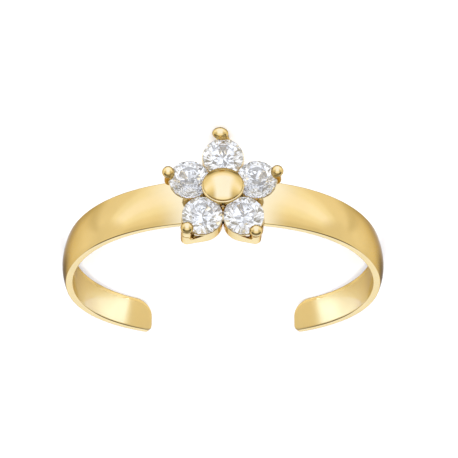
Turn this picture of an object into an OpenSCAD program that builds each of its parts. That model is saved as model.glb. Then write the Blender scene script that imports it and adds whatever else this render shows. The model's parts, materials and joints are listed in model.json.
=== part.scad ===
// Open toe ring: a tapering half-round band with a flower of five round stones.
// The ring lies on its side, as it rests by itself: its axis is near upright, the
// flower faces -Y and the gap between the ends faces +Y. Lengths are in millimetres.

/* [Band] */
// Inner radius of the band
bore_r = 7.53; // [6.5:0.01:9]
// Open gap between the two ends
end_gap = 7.1; // [5:0.01:9]
// Thickness along the middle of the band, at the flower
band_t = 0.52; // [0.45:0.01:0.8]
// How much thinner the band is opposite the flower
band_thin = 0.09; // [0:0.01:0.15]
// Radius of the rounded outer face, across the band
dome_r = 3.5; // [2.5:0.01:6]
// Width of the band at the flower
front_w = 2.28; // [1.8:0.01:3]
// Width of the band at its ends
end_w = 1.56; // [1.2:0.01:2]
// Corner radius of each end, on the edge beside the single petal
corner_low_r = 0.57; // [0.2:0.01:0.7]
// Corner radius of each end, on the other edge
corner_high_r = 0.27; // [0.1:0.01:0.5]

/* [Stones] */
// Diameter of each stone at its girdle
stone_d = 2; // [1.6:0.01:2.4]
// Diameter of the flat table on top
table_d = 1.12; // [0.8:0.01:1.4]
// Height of the crown, from girdle to table
crown_h = 0.3; // [0.2:0.01:0.4]
// Depth of the pavilion, from girdle to point
pavilion_h = 0.86; // [0.7:0.01:1]
// Share of the way from the table to the girdle at which the star facets end
star_share = 0.5; // [0.4:0.01:0.6]
// Share of the way from the girdle to the point at which the lower girdle facets end
lower_share = 0.76; // [0.6:0.01:0.85]
// Thickness of the girdle
girdle_t = 0.05; // [0.03:0.01:0.08]
// Free space between neighbouring stones
stone_gap = 0.034; // [0.02:0.001:0.1]
// Clearance between a stone and the gold round it
seat_clear = 0.02; // [0.01:0.005:0.04]

/* [Head] */
// Height of the stones' points above the band
point_gap = 0.14; // [0.05:0.01:0.3]
// Width of the gold rim that shows round each stone
rim_w = 0.08; // [0.05:0.01:0.15]
// Height of that rim
rim_h = 0.16; // [0.1:0.01:0.2]
// Thickness of the walls of the petals that stand clear of the band
wall_t = 0.2; // [0.15:0.01:0.3]
// Height of those walls, from the girdle down
wall_h = 0.79; // [0.6:0.01:0.9]
// Height of the windows under the rim
window_h = 0.18; // [0.1:0.01:0.3]
// Angle from a petal's middle line to the near side of a window
window_from = 24; // [20:1:35]
// Angle from a petal's middle line to the far side of a window
window_to = 75; // [50:1:80]
// Outer radius at the foot of the cups that stand on the band
cup_foot_r = 0.62; // [0.5:0.01:0.8]
// Radius of the hub below the stones
hub_r = 1.08; // [0.9:0.01:1.1]
// Depth of the hub and the feet in the band
sink = 0.25; // [0.2:0.01:0.3]

/* [Prongs] */
// Diameter of the ball at each prong's tip
ball_d = 0.58; // [0.4:0.01:0.6]
// Height of the ball's middle above the girdle
ball_h = 0.36; // [0.34:0.01:0.45]
// Radius of a prong's shank at its foot
shank_foot_r = 0.26; // [0.2:0.01:0.35]
// Radius of a prong's shank at its ball
shank_top_r = 0.22; // [0.15:0.01:0.25]
// Distance of a prong's foot outside its stone
foot_out = 0.12; // [0.05:0.01:0.2]

/* [Button] */
// Diameter of the domed button
button_d = 2.06; // [1.8:0.01:2.3]
// Height of the button's low edge above the girdle
button_h = 0.28; // [0.22:0.01:0.4]
// Lean of the button towards the single petal
button_tilt = 13; // [2:1:18]
// Rise of the dome over its edge
button_rise = 0.42; // [0.3:0.01:0.6]
// Height of the dome's upright edge
button_edge = 0.07; // [0.04:0.01:0.12]
// Height and depth of the groove under the edge
groove = 0.03; // [0.02:0.01:0.06]

/* [Hidden] */
$fn = 96;

// Turn of each prong from its petal's middle line, in degrees, and how far its ball
// stands outside the stone. They were set by hand, so they differ a little.
prong_turn = 0;
prong_out = 1;
PRONGS = [[4.3, 0.15], [1.9, 0.07], [-2.3, 0.1], [-1.8, 0.15], [-0.6, 0.06]];
// Petals whose cups stand on the band; the others stand clear of its edges
ON_BAND = [1, 4];

petals = 5;
petal_step = 360 / petals;
stone_r = stone_d / 2;
petal_r = (stone_d + stone_gap) / (2 * sin(petal_step / 2));
rim_r = stone_r + rim_w;
girdle_half = girdle_t / 2;
ball_r = ball_d / 2;
button_r = button_d / 2;
// Main facets round a stone, and the corners where its star and lower girdle facets end.
// Their heights keep the bezel facets and the mains flat.
facets = 8;
facet_step = 360 / facets;
table_r = table_d / 2;
star_r = table_r + (stone_r - table_r) * star_share;
star_z = girdle_half + crown_h * (stone_r - star_r * cos(facet_step / 2)) / (stone_r - table_r);
lower_r = stone_r * (1 - lower_share);
lower_z = -girdle_half - pavilion_h * (1 - lower_r * cos(facet_step / 2) / stone_r);
// Room past a face that a cutting shape needs
over = 1;
// How far in from its two faces a corner's centre lies, as a share of the corner's radius.
// Under 1, so that the round crosses both faces and leaves no sliver beside them.
corner_in = 0.96;

outer_r = bore_r + band_t;
girdle_u = outer_r + point_gap + pavilion_h + girdle_half;
tip_deg = 180 - asin(end_gap / 2 / bore_r);
tip_u = bore_r * cos(tip_deg);

// Half the band's width changes evenly from the flower to the ends
function half_w(u) = (end_w + (front_w - end_w) * (u - tip_u) / (bore_r - tip_u)) / 2;
function ball_reach(k) = petal_r + stone_r + PRONGS[k][prong_out];
function is_on_band(k) = len(search(k, ON_BAND)) > 0;
// Height of the band's outer face where a cup or shank at a reach from the flower's middle stands
function band_u(reach) = sqrt(outer_r ^ 2 - reach ^ 2);

// The ring rests on the low edge of its two ends and on the single petal's prong, at its
// ball or at its foot. Places here are a height out of the flower and one along the axis.
low_ball = [girdle_u + ball_h, -ball_reach(0) * cos(PRONGS[0][prong_turn])];
low_foot = [girdle_u - wall_h, -petal_r - stone_r - foot_out - shank_foot_r];
end_outer_r = outer_r - band_thin;
end_edge_u = end_outer_r * cos(tip_deg - corner_low_r / outer_r * 180 / PI);
end_edge = [end_edge_u, -half_w(end_edge_u)];
// The lean at which a ball of radius r at a place and the ends touch one floor
function lean(place, r) =
    let (span = place - end_edge) atan2(-span[1], span[0]) + asin(r / norm(span));
rest_tilt = max(lean(low_ball, ball_r), lean(low_foot, 0));
rest_z = -(end_edge[0] * sin(rest_tilt) + end_edge[1] * cos(rest_tilt));
// Middle of the ring from front to back
front_y = -low_ball[0] * cos(rest_tilt) + low_ball[1] * sin(rest_tilt) - ball_r;
back_y = -end_outer_r * cos(tip_deg) * cos(rest_tilt) + half_w(tip_u) * sin(rest_tilt);
rest_y = -(front_y + back_y) / 2;

module at_rest() translate([0, rest_y, rest_z]) rotate([-rest_tilt, 0, 0]) children();

// Turns a shape that is drawn with +Z as its height so that it faces out of the flower
module facing_out() rotate([90, 0, 0]) children();

module at_petal(k) facing_out() rotate([0, 0, petal_step * k]) translate([0, -petal_r, girdle_u]) children();

module band_section()
    intersection() {
        translate([outer_r - band_thin / 2 - dome_r, 0]) circle(r = dome_r);
        translate([bore_r - over, -front_w]) square([band_t + 2 * over, 2 * front_w]);
    }

module band()
    difference() {
        intersection() {
            translate([0, -band_thin / 2, 0]) rotate_extrude() band_section();
            wedge();
        }
        cylinder(r = bore_r, h = 4 * front_w, center = true);
        gap_cut();
        for (side = [0, 1]) mirror([side, 0, 0]) {
            end_corner(corner_low_r);
            mirror([0, 0, 1]) end_corner(corner_high_r);
        }
    }

// Both edges of the band are flat and draw together towards the ends
module wedge() {
    reach = outer_r + over;
    rotate([90, 0, 90]) linear_extrude(height = 4 * outer_r, center = true)
        polygon([[-reach, -half_w(reach)], [reach, -half_w(-reach)],
                 [reach, half_w(-reach)], [-reach, half_w(reach)]]);
}

// The gap's sides run straight out from the ring's axis
module gap_cut() {
    reach = 2 * outer_r;
    linear_extrude(height = 4 * front_w, center = true)
        polygon([[0, 0], [reach * sin(tip_deg), -reach * cos(tip_deg)],
                 [-reach * sin(tip_deg), -reach * cos(tip_deg)]]);
}

// What is cut off one corner of an end, outside a quarter circle
module end_corner(r) {
    inward = corner_in * r;
    rotate([0, 0, tip_deg]) translate([0, -bore_r + over, 0]) rotate([90, 0, 0])
        linear_extrude(height = band_t + 2 * over) translate([-inward, inward - half_w(tip_u)])
            difference() {
                translate([0, -r - over]) square(r + over);
                circle(r = r);
            }
}

// The room that a stone takes up, grown by a clearance
module stone_room(grow)
    rotate_extrude()
        polygon([[0, -girdle_half - pavilion_h - 1.5 * grow],
                 [lower_r + grow, lower_z - grow],
                 [stone_r + grow, -girdle_half - grow / 2],
                 [stone_r + grow, girdle_half + grow / 2],
                 [star_r + grow, star_z + grow],
                 [table_r + grow / 2, girdle_half + crown_h + grow],
                 [0, girdle_half + crown_h + grow]]);

// Gold under one stone: a walled petal with windows, or a tapering cup on the band
module petal_body(k)
    if (is_on_band(k)) cup();
    else walled_petal();

module cup() {
    foot = girdle_u - band_u(petal_r) + sink;
    translate([0, 0, -foot]) cylinder(r1 = cup_foot_r, r2 = rim_r, h = foot - rim_h);
    translate([0, 0, -rim_h]) cylinder(r = rim_r, h = rim_h);
}

module walled_petal()
    difference() {
        translate([0, 0, -wall_h]) cylinder(r = rim_r, h = wall_h);
        translate([0, 0, -wall_h - over]) cylinder(r = rim_r - wall_t, h = wall_h + over);
        for (side = [0, 1]) mirror([side, 0, 0]) window();
    }

module window()
    rotate([0, 0, window_from - 90]) translate([0, 0, -rim_h - window_h])
        rotate_extrude(angle = window_to - window_from)
            translate([rim_r - 2 * wall_t, 0]) square([3 * wall_t, window_h]);

// A shank that leans from its foot to the ball over the stone's edge
module prong(k) {
    turn = PRONGS[k][prong_turn];
    reach = ball_reach(k);
    foot_r = petal_r + stone_r + foot_out;
    foot_u = is_on_band(k) ? band_u(foot_r) - sink : girdle_u - wall_h;
    facing_out() rotate([0, 0, petal_step * k + turn]) {
        shank([0, -foot_r, foot_u], [0, -reach, girdle_u + ball_h]);
        translate([0, -reach, girdle_u + ball_h]) sphere(r = ball_r);
    }
}

module shank(a, b) {
    along = b - a;
    translate(a) rotate([-atan2(along[1], along[2]), 0, 0])
        cylinder(r1 = shank_foot_r, r2 = shank_top_r, h = norm(along));
}

module hub()
    facing_out() {
        foot_u = band_u(hub_r) - sink;
        translate([0, 0, foot_u]) cylinder(r = hub_r, h = girdle_u - wall_h / 2 - foot_u);
        translate([0, 0, girdle_u - wall_h]) cylinder(r = petal_r - stone_r, h = wall_h + button_h / 2);
    }

// A dome on an upright edge, with a groove under it. Its back edge stays low and its
// front edge lifts.
module button() {
    body_r = button_r - groove;
    facing_out() translate([0, 0, girdle_u]) {
        difference() {
            translate([0, 0, -girdle_half]) cylinder(r = body_r, h = button_h + over);
            button_plane() cylinder(r = 4 * button_r, h = 4 * button_r);
        }
        button_plane() {
            translate([0, 0, -groove]) cylinder(r = body_r - 2 * groove, h = 3 * groove);
            translate([0, 0, groove]) cap();
        }
    }
}

module button_plane()
    translate([0, -button_r, button_h]) rotate([button_tilt, 0, 0]) translate([0, button_r, 0]) children();

// The upright edge and the dome over it
module cap() {
    top = button_edge + button_rise;
    r = (button_r ^ 2 + button_rise ^ 2) / (2 * button_rise);
    intersection() {
        cylinder(r = button_r, h = top + over);
        translate([0, 0, top - r]) sphere(r = r);
    }
}

module gold_ring()
    color("gold") at_rest() difference() {
        union() {
            band();
            hub();
            for (k = [0:petals - 1]) {
                at_petal(k) petal_body(k);
                prong(k);
            }
            button();
        }
        for (k = [0:petals - 1]) at_petal(k) stone_room(seat_clear);
    }

// Corners of one ring round a stone, a radius out and a height up, from an angle on
function corners(count, r, z, from) =
    [for (i = [0:count - 1]) [r * cos(from + 360 / count * i), r * sin(from + 360 / count * i), z]];

// A round brilliant: table, star, bezel and upper girdle facets over the girdle, and
// lower girdle facets and mains under it
module brilliant() {
    n = facets;
    m = 2 * facets;
    // Where each ring of corners starts in the list
    table = 0;
    star = table + n;
    top = star + n;
    low = top + m;
    lower = low + m;
    point = lower + n;
    polyhedron(
        concat(corners(n, table_r, girdle_half + crown_h, facet_step / 2),
               corners(n, star_r, star_z, 0),
               corners(m, stone_r, girdle_half, 0),
               corners(m, stone_r, -girdle_half, 0),
               corners(n, lower_r, lower_z, 0),
               [[0, 0, -girdle_half - pavilion_h]]),
        concat([[for (i = [n - 1:-1:0]) table + i]],
               [for (i = [0:n - 1]) each let (j = (i + 1) % n, near = (2 * i + m - 1) % m)
                   [[table + i, table + j, star + j],
                    [table + i, star + j, top + 2 * i + 1, star + i],
                    [star + i, top + 2 * i + 1, top + 2 * i],
                    [star + i, top + 2 * i, top + near],
                    [lower + i, low + 2 * i, low + 2 * i + 1],
                    [lower + i, low + near, low + 2 * i],
                    [point, lower + i, low + 2 * i + 1, lower + j]]],
               [for (i = [0:m - 1]) let (j = (i + 1) % m) [top + i, top + j, low + j, low + i]]));
}

module stone(k) color("white") at_rest() at_petal(k) brilliant();

gold_ring();
stone(0);  // stone_1
stone(1);  // stone_2
stone(2);  // stone_3
stone(3);  // stone_4
stone(4);  // stone_5
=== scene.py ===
"""An open toe ring in polished gold: a flower of five round stones set round a domed button."""

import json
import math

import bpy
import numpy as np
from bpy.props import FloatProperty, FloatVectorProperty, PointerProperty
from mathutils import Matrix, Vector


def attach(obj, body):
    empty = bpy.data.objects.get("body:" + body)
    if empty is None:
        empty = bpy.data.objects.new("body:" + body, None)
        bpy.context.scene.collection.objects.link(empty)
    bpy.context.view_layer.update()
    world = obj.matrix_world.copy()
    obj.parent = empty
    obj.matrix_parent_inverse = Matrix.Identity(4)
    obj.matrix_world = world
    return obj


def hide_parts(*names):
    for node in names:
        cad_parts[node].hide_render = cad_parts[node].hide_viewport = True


bl_info = {
    "name": "Toe Ring",
    "version": (1, 0, 0),
    "blender": (4, 5, 0),
    "location": "3D View > Sidebar > Toe Ring",
    "description": "Builds an open toe ring with a flower of five stones, and its studio",
    "category": "Object",
}

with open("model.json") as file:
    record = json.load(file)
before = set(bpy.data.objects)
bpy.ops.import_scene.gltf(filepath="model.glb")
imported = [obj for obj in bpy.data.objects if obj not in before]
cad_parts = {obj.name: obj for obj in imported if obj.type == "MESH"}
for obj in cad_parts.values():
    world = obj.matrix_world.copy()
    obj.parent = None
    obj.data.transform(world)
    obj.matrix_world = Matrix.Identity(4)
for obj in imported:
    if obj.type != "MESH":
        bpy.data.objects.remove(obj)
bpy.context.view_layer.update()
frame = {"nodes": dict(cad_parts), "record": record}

# The ring's own frame: its middle, and the directions across it, along its axis and out
# through the flower. They come from the hollow for the toe.
HOLLOW = next(m for m in frame["record"]["mounts"] if m["name"] == "toe_hollow")
MIDDLE = np.array(HOLLOW["pos_m"])
ACROSS = np.array([1.0, 0.0, 0.0])
ALONG = np.array(HOLLOW["axis"]) / np.linalg.norm(HOLLOW["axis"])
OUT = np.cross(ACROSS, ALONG)
AXES = np.array([ACROSS, ALONG, OUT])
BORE_R = HOLLOW["dims"]["r_mm"] / 1000

STONES = sorted(n for n in frame["nodes"] if n.startswith("stone_"))
MM = 0.001
# Points round a turned piece, along the band, across one of its faces, and in the round
# between two of its faces
AROUND, BAND_POINTS, FACE_POINTS, ROUND_POINTS = 96, 481, 33, 4
# Radius of the small flat middle that closes the end of a turned piece
CORE = 0.05 * MM
# Depth of a stone below its girdle
UNDERSIDE = 0.86 * MM


def in_ring(node):
    """A node's points as distances across, along and out from the ring's middle."""
    mesh = frame["nodes"][node].data
    points = np.empty(3 * len(mesh.vertices))
    mesh.vertices.foreach_get("co", points)
    return (points.reshape(-1, 3) - MIDDLE) @ AXES.T


def measure_stones():
    """Each stone's turn round the flower, and their radius, girdle and reach from its middle."""
    turns, reach, radius, girdle = [], [], [], []
    for node in STONES:
        across, along, out = in_ring(node).T
        middle = np.array([across.min() + across.max(), along.min() + along.max()]) / 2
        far = np.hypot(across - middle[0], along - middle[1])
        turns.append(math.atan2(middle[0], -middle[1]))
        reach.append(np.hypot(*middle))
        radius.append(far.max())
        girdle.append(out[far > 0.99 * far.max()].mean())
    return turns, np.mean(reach), np.mean(radius), np.mean(girdle)


TURNS, PETAL_REACH, STONE_R, GIRDLE = measure_stones()


class BandSizes(bpy.types.PropertyGroup):
    edge_t: FloatProperty(
        name="Edge thickness", description="Thickness of the band along its two edges",
        default=0.345 * MM, unit="LENGTH", precision=5)
    rise: FloatProperty(
        name="Dome rise", description="Rise of the rounded outer face over the edges",
        default=0.19 * MM, unit="LENGTH", precision=5)
    half_w: FloatProperty(
        name="Half width", description="Half the band's width level with the ring's middle",
        default=0.975 * MM, unit="LENGTH", precision=5)
    taper: FloatProperty(
        name="Taper", description="How much the half width grows per length towards the flower",
        default=0.0255)
    half_gap: FloatProperty(
        name="Half gap", description="Half the gap between the two ends",
        default=3.59 * MM, unit="LENGTH", precision=5)
    low_corner: FloatProperty(
        name="Low corner", description="Corner radius of each end beside the single petal",
        default=0.87 * MM, unit="LENGTH", precision=5)
    high_corner: FloatProperty(
        name="High corner", description="Corner radius of each end on the other edge",
        default=0.27 * MM, unit="LENGTH", precision=5)
    soft: FloatProperty(
        name="Edge round", description="Radius of the polished round along every edge",
        default=0.07 * MM, unit="LENGTH", precision=5)
    oval: FloatProperty(
        name="Oval", description="Share by which the bore is longer across than along the flower",
        default=0.020)
    pear: FloatProperty(
        name="Pear", description="Share by which the bore draws in behind and swells at the flower",
        default=0.015)
    square: FloatProperty(
        name="Square", description="Share by which the bore fills out towards its corners",
        default=0.013)
    drop: FloatProperty(
        name="Mean radius share",
        description="Mean radius of the bent bore as a share of the hollow's", default=0.9878)
    shift: FloatProperty(
        name="Shift", description="How far the bent bore's middle lies towards the flower",
        default=0.1475 * MM, unit="LENGTH", precision=5)


class HeadSizes(bpy.types.PropertyGroup):
    rim_w: FloatProperty(
        name="Rim width", description="Width of the gold rim that shows round each stone",
        default=0.02 * MM, unit="LENGTH", precision=5)
    rim_drop: FloatProperty(
        name="Rim drop", description="Depth of the rim's top below the middle of the girdle",
        default=0.08 * MM, unit="LENGTH", precision=5)
    rim_h: FloatProperty(
        name="Rim height", description="Height of the rim above the windows",
        default=0.16 * MM, unit="LENGTH", precision=5)
    seat: FloatProperty(
        name="Seat clearance", description="Room between a stone and its seat",
        default=0.02 * MM, unit="LENGTH", precision=5)
    wall_t: FloatProperty(
        name="Wall thickness", description="Thickness of the walls of the petals that stand clear",
        default=0.12 * MM, unit="LENGTH", precision=5)
    wall_h: FloatProperty(
        name="Wall height", description="Height of those walls, from the girdle down",
        default=0.87 * MM, unit="LENGTH", precision=5)
    window_h: FloatProperty(
        name="Window height", description="Height of the windows beside each prong",
        default=0.3 * MM, unit="LENGTH", precision=5)
    window_from: FloatProperty(
        name="Window start", description="Turn from a prong's foot to a window's near side",
        default=math.radians(10), subtype="ANGLE")
    window_to: FloatProperty(
        name="Window end", description="Turn from a prong's foot to a window's far end",
        default=math.radians(55), subtype="ANGLE")
    shelf: FloatProperty(
        name="Shelf", description="Height of the shelf in a wall's foot as a share of the wall",
        default=0.52, min=0.1, max=0.8)
    neck_r: FloatProperty(
        name="Cup peg", description="Radius of the pegs of the cups that stand on the band",
        default=0.24 * MM, unit="LENGTH", precision=5)
    peg_shift: FloatProperty(
        name="Peg shift", description="How far those pegs stand towards the single petal's side",
        default=0.25 * MM, unit="LENGTH", precision=5)
    hub_r: FloatProperty(
        name="Hub radius", description="Radius of the hub below the stones",
        default=1.06 * MM, unit="LENGTH", precision=5)
    sink: FloatProperty(
        name="Sink", description="Depth of the hub and the feet in the band",
        default=0.25 * MM, unit="LENGTH", precision=5)


class ProngSizes(bpy.types.PropertyGroup):
    ball_r: FloatProperty(
        name="Ball radius", description="Radius of the ball at each prong's tip",
        default=0.29 * MM, unit="LENGTH", precision=5)
    ball_h: FloatProperty(
        name="Ball height", description="Height of the ball's middle above the girdle",
        default=0.36 * MM, unit="LENGTH", precision=5)
    foot_r: FloatProperty(
        name="Foot radius", description="Radius of a prong's shank at its foot",
        default=0.28 * MM, unit="LENGTH", precision=5)
    neck_r: FloatProperty(
        name="Neck radius", description="Radius of a prong's shank under its ball",
        default=0.27 * MM, unit="LENGTH", precision=5)
    heel: FloatProperty(
        name="Heel", description="Radius of the round along the edge of a prong's foot",
        default=0.06 * MM, unit="LENGTH", precision=5)
    room: FloatProperty(
        name="Foot room", description="How far a wall stands out round its prong's foot",
        default=0.02 * MM, unit="LENGTH", precision=5)
    short: FloatProperty(
        name="Short share", description="Reach down of a prong over the band, as a share of a wall",
        default=0.7, min=0, max=1)


class ButtonSizes(bpy.types.PropertyGroup):
    radius: FloatProperty(
        name="Radius", description="Radius of the domed button",
        default=1.0 * MM, unit="LENGTH", precision=5)
    height: FloatProperty(
        name="Height", description="Height of the button's low edge above the girdle",
        default=0.24 * MM, unit="LENGTH", precision=5)
    lean: FloatProperty(
        name="Lean", description="Lean of the button towards the single petal",
        default=math.radians(13), subtype="ANGLE")
    rise: FloatProperty(
        name="Rise", description="Rise of the dome over its edge",
        default=0.42 * MM, unit="LENGTH", precision=5)
    edge: FloatProperty(
        name="Edge height", description="Height of the dome's upright edge",
        default=0.07 * MM, unit="LENGTH", precision=5)
    groove: FloatProperty(
        name="Groove", description="Height and depth of the groove under the edge",
        default=0.03 * MM, unit="LENGTH", precision=5)
    bead: FloatProperty(
        name="Bead", description="Radius of the round bead under the groove",
        default=0.08 * MM, unit="LENGTH", precision=5)


class Finish(bpy.types.PropertyGroup):
    gold: FloatVectorProperty(
        name="Gold", description="Colour of the polished gold",
        default=(0.69, 0.49, 0.175), subtype="COLOR", min=0, max=1)
    polish: FloatProperty(
        name="Polish", description="Roughness of the polished gold", default=0.07, min=0, max=1)
    # Painted shade: the inner face's gold is a little darker than the polished gold.
    inside: FloatVectorProperty(
        name="Inner gold with painted shade", description="Colour of the gold on the band's inner face",
        default=(0.66, 0.475, 0.17), subtype="COLOR", min=0, max=1)
    satin: FloatProperty(
        name="Satin", description="Roughness of the band's inner face", default=0.42, min=0, max=1)
    bend: FloatProperty(
        name="Refraction", description="Index of refraction of the stones", default=2.2, min=1)


class Studio(bpy.types.PropertyGroup):
    distance: FloatProperty(
        name="Distance", description="Distance of the camera from the ring's middle",
        default=400 * MM, unit="LENGTH")
    view_w: FloatProperty(
        name="View width", description="Width of the picture at the ring's middle",
        default=22.9 * MM, unit="LENGTH", precision=5)
    lift: FloatProperty(
        name="Lift", description="Turn of the line of sight from the ring's axis",
        default=math.radians(66), subtype="ANGLE")
    aim: FloatVectorProperty(
        name="Aim",
        description="Where the line of sight passes the ring's middle, right and up in the picture",
        default=(0.3 * MM, 1.79 * MM), size=2, unit="LENGTH", precision=5)
    floor: FloatVectorProperty(
        name="Floor", description="Colour of the floor", default=(0.8, 0.77, 0.67), subtype="COLOR",
        min=0, max=1)


# For each prong's ball and then for its foot: the turn in degrees from the petal's middle
# line, and the distance outside the stone in millimetres. The last number is the ball's width
# as a share of its height. They were set one by one, so they differ.
PRONGS = [
    (2.9, 0.15, 0.0, 0.12, 1.3), (1.9, 0.07, 1.9, -0.02, 1.0), (-2.3, 0.10, -2.0, 0.15, 1.05),
    (-1.8, 0.15, -1.0, 0.02, 1.1), (-0.6, 0.06, -0.6, -0.02, 1.0)]
# Petals whose cups stand on the band; the others stand clear of its edges
ON_BAND = (1, 4)


def eased(x, start, end):
    """0 before start and 1 after end, with a smooth rise between."""
    share = np.clip((x - start) / (end - start), 0, 1)
    return share * share * (3 - 2 * share)


def skin(rings, joined=False):
    """Points and faces over a stack of rings of points. When joined, the last ring meets the
    first; otherwise a fan to its middle closes each end."""
    rows, around = rings.shape[:2]
    index = np.arange(rows * around).reshape(rows, around)
    points = rings.reshape(-1, 3)
    if joined:
        index = np.vstack([index, index[:1]])
    beside = np.roll(index, -1, axis=1)
    quads = np.stack([index[:-1], beside[:-1], beside[1:], index[1:]], axis=-1).reshape(-1, 4)
    first = points[quads[:, 0]]
    halves = [(quads[:, 1], quads[:, 2]), (quads[:, 2], quads[:, 3])]
    faces = quads.tolist()
    volume = sum((first * np.cross(points[b], points[c])).sum() for b, c in halves)
    if not joined:
        ends = np.array([rows * around, rows * around + 1])
        points = np.vstack([points, rings[0].mean(axis=0), rings[-1].mean(axis=0)])
        fans = np.vstack([
            np.stack([np.full(around, ends[0]), beside[0], index[0]], axis=-1),
            np.stack([np.full(around, ends[1]), index[-1], beside[-1]], axis=-1)])
        volume += (points[fans[:, 0]] * np.cross(points[fans[:, 1]], points[fans[:, 2]])).sum()
        faces += fans.tolist()
    if volume < 0:
        faces = [face[::-1] for face in faces]
    return points, faces


def piece(name, skins, material):
    """A gold piece made of one or more closed skins, which stands for the soldered solid."""
    points, faces, start = [], [], 0
    for skin_points, skin_faces in skins:
        points.append(skin_points)
        faces += [[corner + start for corner in face] for face in skin_faces]
        start += len(skin_points)
    mesh = bpy.data.meshes.new(name)
    mesh.from_pydata(MIDDLE + np.vstack(points) @ AXES, [], faces)
    mesh.shade_smooth()
    mesh.materials.append(material)
    made = bpy.data.objects.new(name, mesh)
    bpy.context.scene.collection.objects.link(made)
    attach(made, "root")
    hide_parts("gold_ring")
    return made


def turned(profile, turn=np.linspace(0, 2 * np.pi, AROUND, endpoint=False)):
    """A profile of radius and height carried round the out direction. Its turn is counted from
    the along direction's low side, and a radius or height may differ with the turn."""
    radius, height = profile
    radius, height = radius + 0 * turn, height + 0 * turn
    return np.stack([radius * np.sin(turn), -radius * np.cos(turn), height], axis=-1)


def rounded(corners, soft, steps=4):
    """A run of (radius, height) corners with a curve of the given size at each inner one, and
    a point a little before and after each curve, so that the flats between them shade flat."""
    run = [corners[0]]
    for before, corner, after in zip(corners, corners[1:], corners[2:]):
        before, corner, after = (np.asarray(c, float) for c in (before, corner, after))
        back, on = before - corner, after - corner
        size = min(soft, 0.3 * np.linalg.norm(back), 0.3 * np.linalg.norm(on))
        back, on = back / np.linalg.norm(back) * size, on / np.linalg.norm(on) * size
        share = np.linspace(0, 1, steps + 1)[:, None]
        curve = corner + (1 - share) ** 2 * back + share ** 2 * on
        run += [corner + 1.5 * back, *curve, corner + 1.5 * on]
    run.append(corners[-1])
    radius, height = np.array(run, float).T
    return radius[:, None], height[:, None]


def closed_round(corners, soft):
    """The same for a closed run of corners, which starts in the middle of its last side."""
    start = (np.asarray(corners[0], float) + np.asarray(corners[-1], float)) / 2
    radius, height = rounded([start, *corners, start], soft)
    return radius[:-1], height[:-1]


def swung(points, turn, reach=0.0):
    """Points moved down the along direction by reach, then turned round the flower's middle."""
    moved = points + np.array([0, -reach, 0])
    c, s = math.cos(turn), math.sin(turn)
    return moved @ np.array([[c, s, 0], [-s, c, 0], [0, 0, 1]])


# Materials


def new_material(name):
    """A material, its node tree and its main shader."""
    material = bpy.data.materials.new(name)
    material.use_nodes = True
    return material, material.node_tree, material.node_tree.nodes["Principled BSDF"]


def feed(node, sources):
    """Fills sockets of a node, found by name or by number. A source that is a socket is linked,
    and any other is a fixed value."""
    for key, source in sources.items():
        if isinstance(source, bpy.types.NodeSocket):
            node.id_data.links.new(source, node.inputs[key])
        else:
            node.inputs[key].default_value = source


def coordinates(tree, kind):
    """A socket with the coordinates of one kind."""
    return tree.nodes.new("ShaderNodeTexCoord").outputs[kind]


def noise(tree, place, scale, detail=2):
    """Noise over some coordinates."""
    node = tree.nodes.new("ShaderNodeTexNoise")
    feed(node, {"Vector": place, "Scale": scale, "Detail": detail})
    return node.outputs["Fac"]


def spread(tree, value, span, to=(0, 1), smooth=False):
    """A value moved from one span to another, evenly or with eased ends."""
    node = tree.nodes.new("ShaderNodeMapRange")
    node.interpolation_type = "SMOOTHSTEP" if smooth else "LINEAR"
    feed(node, {"Value": value, "From Min": span[0], "From Max": span[1],
                "To Min": to[0], "To Max": to[1]})
    return node.outputs["Result"]


def shades(tree, value, stops, way="LINEAR"):
    """A run of colours over a value from 0 to 1, given as stops of a place and a colour."""
    node = tree.nodes.new("ShaderNodeValToRGB")
    node.color_ramp.interpolation = way
    for place, _ in stops[1:-1]:
        node.color_ramp.elements.new(place)
    for element, (place, colour) in zip(node.color_ramp.elements, stops):
        element.position, element.color = place, (*colour, 1)
    feed(node, {"Fac": value})
    return node.outputs["Color"]


def worked(tree, operation, *sources, kind="ShaderNodeMath"):
    """The value that a maths node makes of its sources."""
    node = tree.nodes.new(kind)
    node.operation = operation
    feed(node, dict(enumerate(sources)))
    return node.outputs["Value"]


def mixed(tree, factor, first, second):
    """One colour that turns into another as the factor rises."""
    node = tree.nodes.new("ShaderNodeMix")
    node.data_type = "RGBA"
    # A mix node has its two colours in sockets 6 and 7, and gives their mix in socket 2
    feed(node, {"Factor": factor, 6: first, 7: second})
    return node.outputs[2]


def gold_material(name, gold, polish):
    """Gold: soft hand-polish waves in the gloss, fine hairline marks and a thin bright skin, all
    on Object coordinates."""
    _, tree, shader = new_material(name)
    place = coordinates(tree, "Object")
    wave = noise(tree, place, 700, 3)
    deep = [channel * 0.94 for channel in gold]
    # Hairlines: noise drawn out along one slanting direction
    stretch = tree.nodes.new("ShaderNodeMapping")
    feed(stretch, {"Vector": place, "Rotation": (0.4, 0.3, 0.6), "Scale": (900, 26000, 22000)})
    hair = noise(tree, stretch.outputs["Vector"], 1, 4)
    bump = tree.nodes.new("ShaderNodeBump")
    feed(bump, {"Strength": 0.05, "Distance": 0.004 * MM, "Height": hair})
    feed(shader, {
        "Metallic": 1.0, "Coat Weight": 0.3, "Coat Roughness": 0.04, "Coat IOR": 1.5,
        "Specular Tint": (0.6, 0.45, 0.25, 1),
        "Roughness": spread(tree, wave, (0.3, 0.7), (polish * 0.85, polish * 1.2)),
        "Base Color": shades(tree, wave, [(0.35, deep), (0.65, gold)]),
        "Normal": bump.outputs["Normal"]})


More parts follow.
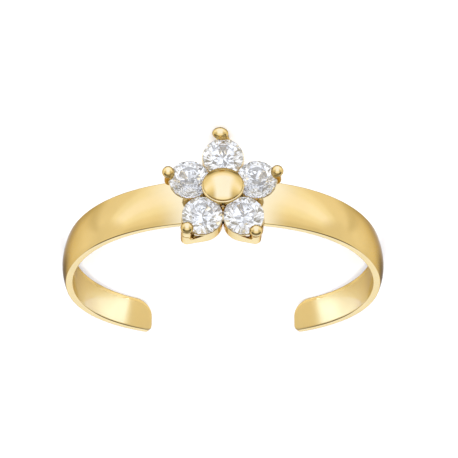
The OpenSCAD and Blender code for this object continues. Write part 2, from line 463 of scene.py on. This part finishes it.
def stone_material():
    """Clear cut stone: full refraction with sharp, clean facets, and a faint painted glow."""
    _, _, shader = new_material("clear_stone")
    # The faint white emission is painted light: a glow that brightens the stones.
    feed(shader, {
        "Base Color": (0.98, 0.985, 1.0, 1), "Transmission Weight": 1.0, "Roughness": 0.0,
        "IOR": bpy.context.scene.ring_finish.bend, "Specular Tint": (1.0, 0.8, 0.43, 1),
        "Emission Color": (1, 1, 1, 1), "Emission Strength": 0.05})


def seat_material():
    """White-plated metal under a stone, with a hand-filed grain on Object coordinates."""
    _, tree, shader = new_material("white_seat")
    grain = noise(tree, coordinates(tree, "Object"), 4500)
    feed(shader, {
        "Metallic": 1.0, "Roughness": spread(tree, grain, (0, 1), (0, 0.02)),
        "Base Color": shades(tree, grain, [(0.4, (0.3, 0.3, 0.32)), (0.46, (1, 1, 1))])})


# Operators


# The satin columns of the band's section, which take the satin gold and its painted shade: its
# inner face with part of the round beside it, but without a narrow strip along the edge beside
# the single petal
SATIN_AND_SHADE_COLUMNS = (48, 76)


class TOERING_OT_band(bpy.types.Operator):
    """Half-round band, bent into an open, slightly pear-shaped hoop that tapers to its ends"""

    bl_idname = "toe_ring.band"
    bl_label = "Band"

    def execute(self, context):
        sizes = context.scene.ring_band
        rings = band_rings(sizes)
        band = piece("band", [skin(rings)], bpy.data.materials["polished_gold"])
        # The inner face's satin gold is rougher, and its slightly darker colour is painted shade.
        band.data.materials.append(bpy.data.materials["satin_gold_painted_shade"])
        slots = np.zeros(len(band.data.polygons), dtype=np.int32)
        columns, spans = rings.shape[1], len(rings) - 1
        slots[:spans * columns].reshape(spans, columns)[:, slice(*SATIN_AND_SHADE_COLUMNS)] = 1
        band.data.polygons.foreach_set("material_index", slots)
        return {"FINISHED"}


def band_line(angle, sizes):
    """The bore's outline: radius = mean x (1 - oval cos 2t + pear cos 3t - square cos 4t) at a
    turn t from the flower, moved towards the flower. Gives points across and out, and normals."""
    mean = BORE_R * sizes.drop
    waves = ((2, -sizes.oval), (3, sizes.pear), (4, -sizes.square))
    radius = mean * (1 + sum(share * np.cos(n * angle) for n, share in waves))
    slope = -mean * sum(n * share * np.sin(n * angle) for n, share in waves)
    point = np.stack([radius * np.sin(angle), radius * np.cos(angle) + sizes.shift], axis=-1)
    across = slope * np.sin(angle) + radius * np.cos(angle)
    out = slope * np.cos(angle) - radius * np.sin(angle)
    normal = np.stack([-out, across], axis=-1)
    return point, normal / np.linalg.norm(normal, axis=-1, keepdims=True)


def quarter(distance, radius):
    """How far a quarter round of a radius draws a side in at a distance from the end."""
    depth = np.clip(radius - distance, 0, radius)
    return radius - np.sqrt(radius ** 2 - depth ** 2)


def band_rings(sizes):
    """The band's cross-section carried along its outline. The section is a flat inner face,
    two upright edges and a dome whose height falls with the square of the distance across."""
    # The last turn is where the outline comes within half the gap, behind the ring's middle
    trial = np.linspace(math.pi / 2, math.pi * 0.95, 400)
    reach = band_line(trial, sizes)[0][:, 0]
    last = np.interp(-sizes.half_gap, -reach, trial)
    # Points crowd towards the ends, where the corners are
    angle = last * np.sin(np.linspace(-math.pi / 2, math.pi / 2, BAND_POINTS))
    point, normal = band_line(angle, sizes)
    step = np.linalg.norm(np.diff(point, axis=0), axis=1)
    walked = np.concatenate([[0], np.cumsum(step)])
    distance = np.minimum(walked, walked[-1] - walked)[:, None]

    soft = sizes.soft
    inset = quarter(distance, soft)
    width = sizes.half_w + sizes.taper * point[:, 1:]
    high = width - quarter(distance, sizes.high_corner) - inset
    low = -width + quarter(distance, sizes.low_corner) + inset

    def top(along):
        return sizes.edge_t + sizes.rise * (1 - (along / width) ** 2) - inset

    sweep = np.sin(np.linspace(-math.pi / 2, math.pi / 2, FACE_POINTS))
    turn = np.linspace(0, math.pi / 2, ROUND_POINTS + 2)[1:-1]
    dome_along = (low + high) / 2 + (high - low - 2 * soft) / 2 * sweep
    dome_out = top(dome_along)
    high_out, low_out = dome_out[:, -1:] - soft, dome_out[:, :1] - soft
    rise = (1 + sweep[::4]) / 2
    face_high = high_out + (inset + soft - high_out) * rise
    face_low = inset + soft + (low_out - inset - soft) * rise
    along = np.hstack([
        dome_along, high - soft + soft * np.sin(turn), high + 0 * face_high,
        high - soft + soft * np.cos(turn), dome_along[:, ::-1],
        low + soft - soft * np.sin(turn), low + 0 * face_low, low + soft - soft * np.cos(turn)])
    out = np.hstack([
        dome_out, high_out + soft * np.cos(turn), face_high,
        inset + soft - soft * np.sin(turn), inset + 0 * dome_along,
        inset + soft - soft * np.cos(turn), face_low, low_out + soft * np.sin(turn)])
    flat = point[:, None, :] + normal[:, None, :] * out[..., None]
    return np.stack([flat[..., 0], along, flat[..., 1]], axis=-1)


def band_top(reach):
    """Height of the band's outer face, out from the ring's middle, at a reach across it."""
    sizes = bpy.context.scene.ring_band
    point, normal = band_line(np.linspace(0, 1, 200), sizes)
    face = point + normal * (sizes.edge_t + sizes.rise)
    return float(np.interp(reach, face[:, 0], face[:, 1]))


class TOERING_OT_hub(bpy.types.Operator):
    """Hub between the band and the flower, with the post that carries the button"""

    bl_idname = "toe_ring.hub"
    bl_label = "Hub"

    def execute(self, context):
        head, button = context.scene.ring_head, context.scene.ring_button
        foot = band_top(head.hub_r) - head.sink - GIRDLE
        post_r = PETAL_REACH - STONE_R
        shelf = -head.wall_h * 0.5
        top = button.height * 0.5
        profile = rounded([
            (2 * CORE, foot), (head.hub_r, foot), (head.hub_r * 0.86, (foot + shelf) / 2),
            (head.hub_r * 0.97, shelf), (post_r, shelf + 0.05 * MM), (post_r, top),
            (2 * CORE, top)], 0.04 * MM)
        rings = turned(profile) + np.array([0, 0, GIRDLE])
        hub = piece("hub", [skin(rings)], bpy.data.materials["polished_gold"])
        hub.visible_glossy = False
        return {"FINISHED"}


def cone_r(depth, room):
    """Radius of a seat that follows a stone's underside, at a depth below the girdle."""
    return (STONE_R + room) * (1 - depth / (UNDERSIDE + room))


def walled_petal(head, foot, foot_r):
    """A rim with a seat over a wall. The wall's plan is the tight hull round the rim's circle
    and a circle at the prong's foot: a straight run at a turn s from the foot has the radius
    rim / cos(lean - s), where cos(lean) = (rim - foot_r) / distance. The wall's top drops to
    leave a window on each side of the prong, which narrows evenly away from it."""
    outer, inner = STONE_R + head.rim_w, STONE_R + head.rim_w - head.wall_t
    rim = closed_round([
        (cone_r(head.rim_drop, head.seat), -head.rim_drop), (outer, -head.rim_drop),
        (outer, -head.rim_h), (inner, -head.rim_h),
        (inner, -head.rim_h * 0.95)], 0.015 * MM)
    toward, distance = math.atan2(foot[0], -foot[1]), math.hypot(*foot)
    # Points crowd towards the foot, where the plan is small and round
    even, crowding = np.linspace(-np.pi, np.pi, AROUND, endpoint=False), 0.8
    turn = even - crowding * np.sin(even)
    side = np.abs(turn)
    lean = math.acos((outer - foot_r) / distance)
    touch = math.atan2(foot_r * math.sin(lean), distance + foot_r * math.cos(lean))
    round_foot = distance * np.cos(side) + np.sqrt(
        np.clip(foot_r ** 2 - (distance * np.sin(side)) ** 2, 0, None))
    plan = np.where(side < touch, round_foot, outer / np.cos(np.clip(lean - side, 0, None)))
    # Away from the windows the wall's top laps over the lower part of the rim
    lap, jamb = head.rim_h * 0.6, 0.1
    opening = eased(side, head.window_from, head.window_from + jamb)
    opening = opening * np.clip((head.window_to - side) / (head.window_to - head.window_from), 0, 1)
    top = -lap - (head.rim_h - lap + head.window_h) * opening
    # The section is an L: the wall, and a shelf at its foot that closes the room beside the
    # prong. Across it, 2 is the wall's outside, 1 its inside and 0 the shelf's inner edge.
    across, share = closed_round(
        [(2, 0), (2, 1), (1, 1), (1, head.shelf), (0, head.shelf), (0, 0)], 0.1)
    across, share = np.clip(across, 0, 2), np.clip(share, 0, 1)
    # The shelf reaches a little further in than the rim
    behind, shelf_in = plan - head.wall_t, inner - 0.06 * MM
    radius = np.where(
        across > 1, behind + head.wall_t * (across - 1), shelf_in + (behind - shelf_in) * across)
    wall = (radius, -head.wall_h + (top + head.wall_h) * share)
    return [turned(rim), turned(wall, turn + toward)]


def cup(head):
    """A cup that draws in below its rim, follows the stone down to a peg and stands on the
    band."""
    outer, drop, deep = STONE_R + head.rim_w, head.rim_drop, 0.9 * MM
    foot = band_top(PETAL_REACH * math.sin(2 * math.pi / 5)) - head.sink - GIRDLE
    # From the peg's foot up its outside to the rim, and down the seat inside
    profile = rounded([
        (CORE, foot), (head.neck_r, foot), (head.neck_r, -deep),
        (head.neck_r * 1.15, -0.72 * MM), (0.78 * MM, -0.36 * MM), (outer * 0.93, -0.17 * MM),
        (outer, -0.1 * MM), (outer, -drop), (cone_r(drop, head.seat), -drop),
        (CORE, -deep)], 0.03 * MM)
    return [turned(profile)]


class TOERING_OT_petals(bpy.types.Operator):
    """Gold under the five stones: walled petals with windows, and cups on the band"""

    bl_idname = "toe_ring.petals"
    bl_label = "Petals"

    def execute(self, context):
        head, prong = context.scene.ring_head, context.scene.ring_prong
        for k, turn in enumerate(TURNS):
            on_band = k in ON_BAND
            _, _, foot_turn, foot_out, _ = PRONGS[k]
            foot_turn, reach = math.radians(foot_turn), PETAL_REACH + STONE_R + foot_out * MM
            foot = (reach * math.sin(foot_turn), PETAL_REACH - reach * math.cos(foot_turn))
            wall_foot_r = prong.foot_r + prong.room
            grids = cup(head) if on_band else walled_petal(head, foot, wall_foot_r)
            skins = []
            for grid in grids:
                rings = swung(grid + np.array([0, 0, GIRDLE]), turn, PETAL_REACH)
                if on_band:
                    # The shift sets in below the rim and is whole where the peg starts
                    rings[..., 1] -= head.peg_shift * eased(-grid[..., 2], 0.3 * MM, 0.8 * MM)
                skins.append(skin(rings, not on_band))
            petal = piece(f"petal_{k + 1}", skins, bpy.data.materials["polished_gold"])
            if on_band:
                # The last run of faces and the fan that closes it are the seat under the stone
                petal.data.materials.append(bpy.data.materials["white_seat"])
                slots = np.zeros(len(petal.data.polygons), dtype=np.int32)
                slots[-AROUND:] = slots[-3 * AROUND:-2 * AROUND] = 1
                petal.data.polygons.foreach_set("material_index", slots)
                petal.visible_glossy = False
        return {"FINISHED"}


class TOERING_OT_prongs(bpy.types.Operator):
    """Five prongs, each a leaning shank that swells into a ball over its stone's edge"""

    bl_idname = "toe_ring.prongs"
    bl_label = "Prongs"

    def execute(self, context):
        prong, head = context.scene.ring_prong, context.scene.ring_head
        for k, turn in enumerate(TURNS):
            ball_turn, ball_out, foot_turn, foot_out, wide = PRONGS[k]
            reach = PETAL_REACH + STONE_R + foot_out * MM
            foot = GIRDLE - head.wall_h * (prong.short if k in ON_BAND else 1)
            start = swung(np.array([0, 0, foot]), turn + math.radians(foot_turn), reach)
            reach = PETAL_REACH + STONE_R + ball_out * MM
            ball = np.array([0, 0, GIRDLE + prong.ball_h])
            end = swung(ball, turn + math.radians(ball_turn), reach)
            made = piece(f"prong_{k + 1}", [skin(prong_rings(start, end, prong, wide))],
                         bpy.data.materials["polished_gold"])
            made.visible_glossy = k not in ON_BAND
        return {"FINISHED"}


def prong_rings(start, end, prong, wide):
    """Radius up the shank is the eighth-power mean of a straight taper and a ball at the end, so
    that one flows into the other. The foot's edge is a quarter round. The middle line stands
    upright and eases over to the ball in its upper half, where the width eases to the ball's."""
    length, heel, power = (end - start)[2], prong.heel, 8
    round_foot = heel * (1 - np.cos(np.linspace(0.15, math.pi / 2, 5)))
    shank = np.linspace(heel, length - 0.8 * prong.ball_r, 10)[1:]
    ball = length + prong.ball_r * np.sin(np.radians(np.linspace(-52, 88, 26)))
    place = np.concatenate([round_foot, shank, ball])
    taper = prong.foot_r + (prong.neck_r - prong.foot_r) * place / length
    taper = taper - heel + np.sqrt(heel ** 2 - np.clip(heel - place, 0, heel) ** 2)
    taper = taper * (place < length)
    bulb = np.sqrt(np.clip(prong.ball_r ** 2 - (place - length) ** 2, 0, None))
    radius = ((taper / MM) ** power + (bulb / MM) ** power) ** (1 / power) * MM
    shift = eased(place, 0.6 * length, length + 0.3 * prong.ball_r)[:, None] * (end - start)[:2]
    rings = turned((radius[:, None], place[:, None]))
    rings[..., 0] *= 1 + (wide - 1) * eased(place, 0.5 * length, length)[:, None]
    rings[..., :2] += shift[:, None]
    return start + rings


class TOERING_OT_button(bpy.types.Operator):
    """Domed button that leans towards the single petal, on a collar that rises to meet it"""

    bl_idname = "toe_ring.button"
    bl_label = "Button"

    def execute(self, context):
        sizes = context.scene.ring_button
        gold = bpy.data.materials["polished_gold"]
        piece("button", [skin(leant(turned(dome_profile(sizes)), sizes))], gold)
        piece("collar", [skin(collar_rings(sizes))], gold)
        return {"FINISHED"}


def leant(points, sizes):
    """Points of the button's own frame, leant about its low edge and set at its height."""
    c, s = math.cos(sizes.lean), math.sin(sizes.lean)
    hinge = np.array([0, -sizes.radius, sizes.height + GIRDLE])
    moved = points + np.array([0, sizes.radius, 0])
    return moved @ np.array([[1, 0, 0], [0, c, s], [0, -s, c]]) + hinge


def dome_profile(sizes):
    """A round bead, a narrow groove, an upright edge with soft corners and the dome, which is
    part of a sphere through the edge and the top."""
    radius, groove, soft = sizes.radius, sizes.groove, 0.02 * MM
    sphere = (radius ** 2 + sizes.rise ** 2) / (2 * sizes.rise)
    turn = np.radians(np.linspace(-90, 60, 10))[:, None]
    bead_r = radius - 0.4 * sizes.bead + sizes.bead * np.cos(turn)
    bead_h = sizes.bead * (np.sin(turn) - 1)
    low = rounded([
        (radius - 3 * groove, -0.5 * groove), (radius - 3 * groove, groove), (radius, groove),
        (radius, groove + 0.6 * sizes.edge)], soft)
    reach = np.linspace(math.asin((radius - soft) / sphere), 0.02, 28)[:, None]
    top = groove + sizes.edge + sizes.rise - sphere
    return (np.vstack([bead_r, low[0], sphere * np.sin(reach)]),
            np.vstack([bead_h, low[1], top + sphere * np.cos(reach)]))


def collar_rings(sizes):
    """A wall between a level circle near the girdle and the leant circle under the button."""
    # A ring of points a little inside the wall keeps the flat ends flat in the shading
    wall_r, flat_r = 0.86 * sizes.radius, 0.83 * sizes.radius
    radius = np.array([[CORE], [flat_r], [wall_r]])
    level = turned((radius, np.full((3, 1), GIRDLE - 0.05 * MM)))
    upper = leant(turned((radius, np.zeros((3, 1)))), sizes)
    share = np.linspace(0.02, 0.98, 9)[:, None, None]
    wall = level[-1] + (upper[-1] - level[-1]) * share
    return np.concatenate([level[:2], wall, upper[1::-1]])


class TOERING_OT_stones(bpy.types.Operator):
    """Gives the five cut stones their clear finish"""

    bl_idname = "toe_ring.stones"
    bl_label = "Stones"

    def execute(self, context):
        clear = bpy.data.materials["clear_stone"]
        for node in STONES:
            for slot in frame["nodes"][node].material_slots:
                slot.material = clear
        return {"FINISHED"}


class TOERING_OT_finishes(bpy.types.Operator):
    """Makes the finishes of the gold, the stones and their white seats"""

    bl_idname = "toe_ring.finishes"
    bl_label = "Finishes"

    def execute(self, context):
        finish = context.scene.ring_finish
        gold_material("polished_gold", finish.gold, finish.polish)
        # Satin gold for the inner face: a rougher finish, and a slightly darker colour that is
        # painted shade.
        gold_material("satin_gold_painted_shade", finish.inside, finish.satin)
        stone_material()
        seat_material()
        return {"FINISHED"}


# Light of the tent by its turn from the out direction over the along direction, in degrees,
# through the middle of the tent and at its sides. Cool light is whiter where gold shows it.
DARK, DIM, SOFT, EVEN = ((level,) * 3 for level in (0.2, 0.36, 0.85, 1.02))
MILD, WARM, PALE = (1.14, 1.15, 1.2), (1.24, 1.26, 1.35), (1.4, 1.5, 1.8)
COOL, WHITE, CREAM = (1.5, 1.64, 2.3), (1.5, 1.85, 3.5), (1.55, 1.9, 3.4)
TENT_MIDDLE = [
    (-180, COOL), (-168, EVEN), (-160, DIM), (-152, SOFT), (-142, SOFT), (-132, DIM),
    (-108, DIM), (-94, EVEN), (-77, COOL), (-60, WHITE), (20, WHITE), (40, COOL), (70, PALE),
    (80, DIM), (130, DIM), (141, CREAM), (168, CREAM), (180, COOL)]
TENT_SIDES = [
    (-180, EVEN), (-160, WARM), (-140, WARM), (-124, EVEN), (-107, WARM), (-84, WARM),
    (-66, PALE), (-48, COOL), (-35, COOL), (-19, PALE), (-3, WARM), (11, EVEN), (25, SOFT),
    (64, SOFT), (80, DARK), (125, DARK), (145, SOFT), (158, WARM), (180, EVEN)]
# Shares of a direction that lie across, between which the middle of the tent turns into its
# sides, and the sides into the even light round the two directions across
SIDES, POLES = (0.35, 0.7), (0.92, 0.99)


def sky(world):
    """A soft light tent round the ring. Its light follows the turn of the direction about the
    across direction, by one run near the middle and by another towards the sides."""
    world.use_nodes = True
    tree = world.node_tree
    direction = coordinates(tree, "Generated")
    across, along, out = (
        worked(tree, "DOT_PRODUCT", direction, axis, kind="ShaderNodeVectorMath") for axis in AXES)
    turn = spread(tree, worked(tree, "ARCTAN2", along, out), (-math.pi, math.pi))
    aside = worked(tree, "ABSOLUTE", across)
    middle, sides = (
        shades(tree, turn, [((degrees + 180) / 360, light) for degrees, light in run], "EASE")
        for run in (TENT_MIDDLE, TENT_SIDES))
    tent = mixed(tree, spread(tree, aside, SIDES, smooth=True), middle, sides)
    # Even light round the two directions across, where every turn would meet in a point
    tent = mixed(tree, spread(tree, aside, POLES, smooth=True), tent, (*MILD, 1))
    # Light that has passed through a stone comes from soft white patches, so its facets differ
    patches = spread(tree, noise(tree, direction, 10), (0.42, 0.54), (0, 0.93))
    through = tree.nodes.new("ShaderNodeLightPath").outputs["Is Transmission Ray"]
    feed(tree.nodes["Background"], {"Color": mixed(tree, through, tent, patches)})


def soft_light(name, place, facing, size, watts, glossy=False):
    """A flat lamp of a width and depth, which gold reflects only when it is glossy."""
    data = bpy.data.lights.new(name, "AREA")
    data.shape = "RECTANGLE"
    data.energy, (data.size, data.size_y) = watts, size
    lamp = bpy.data.objects.new(name, data)
    lamp.location = place
    lamp.rotation_euler = Vector(facing).to_track_quat("-Z", "Y").to_euler()
    lamp.visible_camera = lamp.visible_transmission = False
    lamp.visible_glossy = glossy
    bpy.context.scene.collection.objects.link(lamp)
    return data


def floor_material(colour):
    """Pale matt paper that glows a little. Gold shows the paper inside the hoop, and the tent
    everywhere else."""
    material, tree, shader = new_material("pale_floor")
    feed(shader, {
        "Base Color": (*colour, 1), "Roughness": 0.9, "Specular IOR Level": 0.1,
        "Emission Color": (1, 1, 1, 1), "Emission Strength": 0.1})
    # Radius of the paper that gold shows, a little less than the bore's
    shown_r = BORE_R - 0.7 * MM
    reach = worked(tree, "DISTANCE", coordinates(tree, "Object"), (*MIDDLE[:2], 0),
                   kind="ShaderNodeVectorMath")
    beyond = worked(tree, "GREATER_THAN", reach, shown_r)
    in_gold = tree.nodes.new("ShaderNodeLightPath").outputs["Is Glossy Ray"]
    hidden = worked(tree, "MULTIPLY", beyond, in_gold)
    clear = tree.nodes.new("ShaderNodeBsdfTransparent")
    mix = tree.nodes.new("ShaderNodeMixShader")
    feed(mix, {"Fac": hidden, 1: shader.outputs["BSDF"], 2: clear.outputs["BSDF"]})
    feed(tree.nodes["Material Output"], {"Surface": mix.outputs["Shader"]})
    return material


class TOERING_OT_stage(bpy.types.Operator):
    """Pale floor, soft studio light and the camera"""

    bl_idname = "toe_ring.stage"
    bl_label = "Stage"

    def execute(self, context):
        scene, studio = context.scene, context.scene.ring_studio
        add_floor(scene, studio)
        scene.world = bpy.data.worlds.new("light_tent")
        sky(scene.world)
        # A broad lamp half a metre before the flower, and a small one that shines down the axis
        key = np.array([0.0, -0.45, 0.19])
        soft_light("key", key, MIDDLE - key, (0.2, 0.2), 3.0)
        soft_light("fill", MIDDLE + 20 * MM * ALONG, -ALONG, (14 * MM, 14 * MM), 0.0025)
        # Two small cards inside the hoop, which the inner face shows beside the ends
        for side in (-1, 1):
            card = MIDDLE + side * 4.3 * MM * ACROSS - 0.2 * MM * ALONG - 4.9 * MM * OUT
            lamp = soft_light("card", card, side * ACROSS, (1 * MM, 1.6 * MM), 0.00002, glossy=True)
            lamp.color = (0.22, 0.4, 1.0)
        scene.view_settings.view_transform = "Standard"
        add_camera(scene, studio)
        return {"FINISHED"}


def add_floor(scene, studio):
    """A square of paper under the ring, three metres wide."""
    half = 1.5
    mesh = bpy.data.meshes.new("floor")
    mesh.from_pydata([(-half, -half, 0), (half, -half, 0), (half, half, 0), (-half, half, 0)],
                     [], [(0, 1, 2, 3)])
    mesh.materials.append(floor_material(studio.floor))
    floor = bpy.data.objects.new("floor", mesh)
    floor.visible_transmission = False
    scene.collection.objects.link(floor)


def add_camera(scene, studio):
    """The camera, turned over, so that the picture's right is against the across direction."""
    c, s = math.cos(studio.lift), math.sin(studio.lift)
    back = c * ALONG + s * OUT
    right, up = -ACROSS, c * OUT - s * ALONG
    place = Vector(MIDDLE + back * studio.distance)
    target = Vector(MIDDLE + right * studio.aim[0] + up * studio.aim[1])
    away = (place - target).normalized()
    side = Vector(up).cross(away).normalized()
    turn = Matrix((side, away.cross(side), away)).transposed()
    data = bpy.data.cameras.new("camera")
    data.sensor_width = 36
    data.lens = data.sensor_width * studio.distance / studio.view_w
    data.clip_start = 0.01
    camera = bpy.data.objects.new("camera", data)
    camera.matrix_world = Matrix.Translation(place) @ turn.to_4x4()
    scene.collection.objects.link(camera)
    scene.camera = camera


class TOERING_PT_panel(bpy.types.Panel):
    bl_idname = "TOERING_PT_panel"
    bl_label = "Toe Ring"
    bl_space_type = "VIEW_3D"
    bl_region_type = "UI"
    bl_category = "Toe Ring"

    def draw(self, context):
        for name in GROUPS:
            box = self.layout.box()
            group = getattr(context.scene, name)
            for prop in group.bl_rna.properties:
                if prop.identifier not in ("rna_type", "name"):
                    box.prop(group, prop.identifier)
        for operator in OPERATORS:
            self.layout.operator(operator.bl_idname)


GROUPS = {
    "ring_band": BandSizes, "ring_head": HeadSizes, "ring_prong": ProngSizes,
    "ring_button": ButtonSizes, "ring_finish": Finish, "ring_studio": Studio}
OPERATORS = (
    TOERING_OT_finishes, TOERING_OT_band, TOERING_OT_hub, TOERING_OT_petals, TOERING_OT_prongs,
    TOERING_OT_button, TOERING_OT_stones, TOERING_OT_stage)


def register():
    for group in (*GROUPS.values(), *OPERATORS, TOERING_PT_panel):
        bpy.utils.register_class(group)
    for name, group in GROUPS.items():
        setattr(bpy.types.Scene, name, PointerProperty(type=group))


def unregister():
    for name in GROUPS:
        delattr(bpy.types.Scene, name)
    for group in (TOERING_PT_panel, *reversed(OPERATORS), *GROUPS.values()):
        bpy.utils.unregister_class(group)


def main():
    register()
    for operator in OPERATORS:
        group, name = operator.bl_idname.split(".")
        getattr(getattr(bpy.ops, group), name)()


if __name__ == "__main__":
    main()
